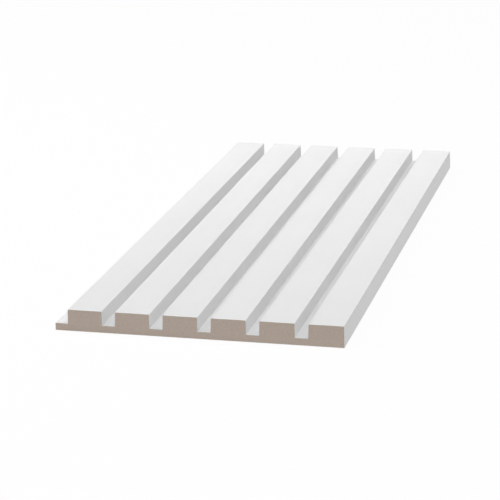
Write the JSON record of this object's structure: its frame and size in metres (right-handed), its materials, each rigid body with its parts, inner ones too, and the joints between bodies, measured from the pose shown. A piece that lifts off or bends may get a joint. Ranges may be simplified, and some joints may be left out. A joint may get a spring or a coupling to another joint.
{
  "type": "wall panel",
  "caption": "Moulded fibreboard wall panel with flat ribs, straight open grooves and a lip on one long edge; white painted face, flat back for gluing to a wall.",
  "frame": {"origin": "middle of the flat back, on the surface that the panel lies on", "axes": "+Z out of the ribbed face, +Y along the ribs, -X towards the lip and +X towards the flush edge"},
  "size_m": [0.24, 0.6, 0.018],
  "materials": {
    "painted_fibreboard": "satin"
  },
  "bodies": {
    "root": {"wall_panel": "painted_fibreboard"}
  },
  "joints": []
}
